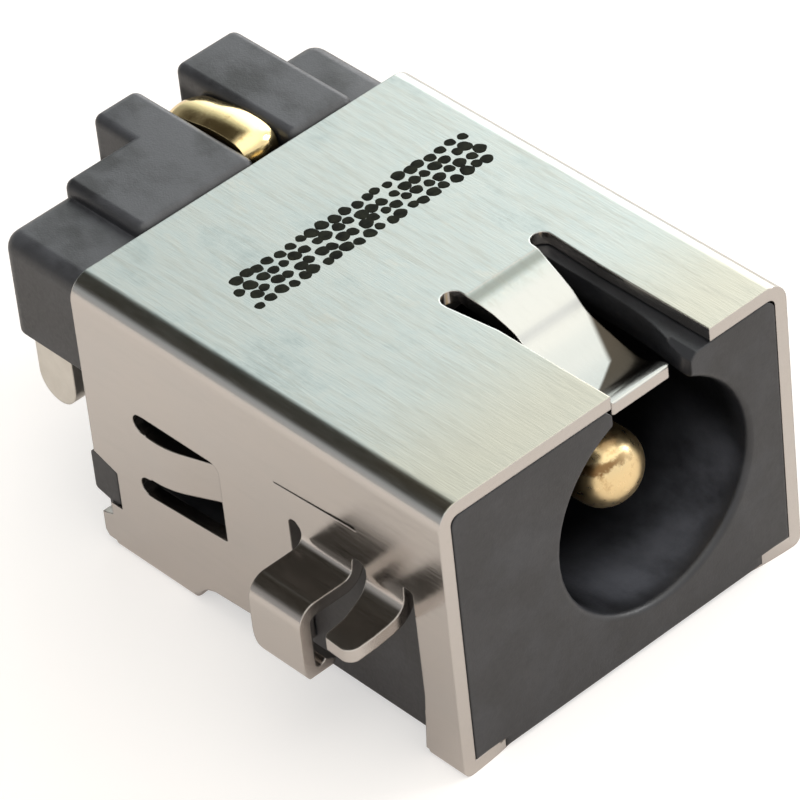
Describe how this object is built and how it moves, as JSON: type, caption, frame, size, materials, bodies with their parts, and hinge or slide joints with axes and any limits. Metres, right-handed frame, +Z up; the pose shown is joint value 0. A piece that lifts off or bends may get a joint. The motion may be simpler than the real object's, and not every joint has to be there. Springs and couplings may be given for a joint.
{
  "type": "dc barrel jack",
  "caption": "Board-mount power socket: a folded metal shell with a spring contact finger over a dark moulded housing, with a gold centre pin and side solder legs.",
  "frame": {"origin": "centre of the part in plan, at the plane of the folded bottom flaps it rests on", "axes": "+Z up away from the board, -Y towards the mating face where the plug enters, +X to the right seen from the mating face"},
  "size_m": [0.012, 0.0142, 0.0067],
  "materials": {
    "nickel_sheet": "bright nickel plating over fine rolling lines",
    "housing_plastic": "satin heat-resistant moulding",
    "gold_pin": "gold plated, polished",
    "gold_strip": "gold plated, polished",
    "tinned_tail": "satin tin plating"
  },
  "bodies": {
    "root": {"shell": "nickel_sheet", "housing": "housing_plastic", "centre_pin": "gold_pin", "pin_terminal": "gold_strip", "tail_left": "tinned_tail", "tail_right": "tinned_tail"}
  },
  "joints": []
}
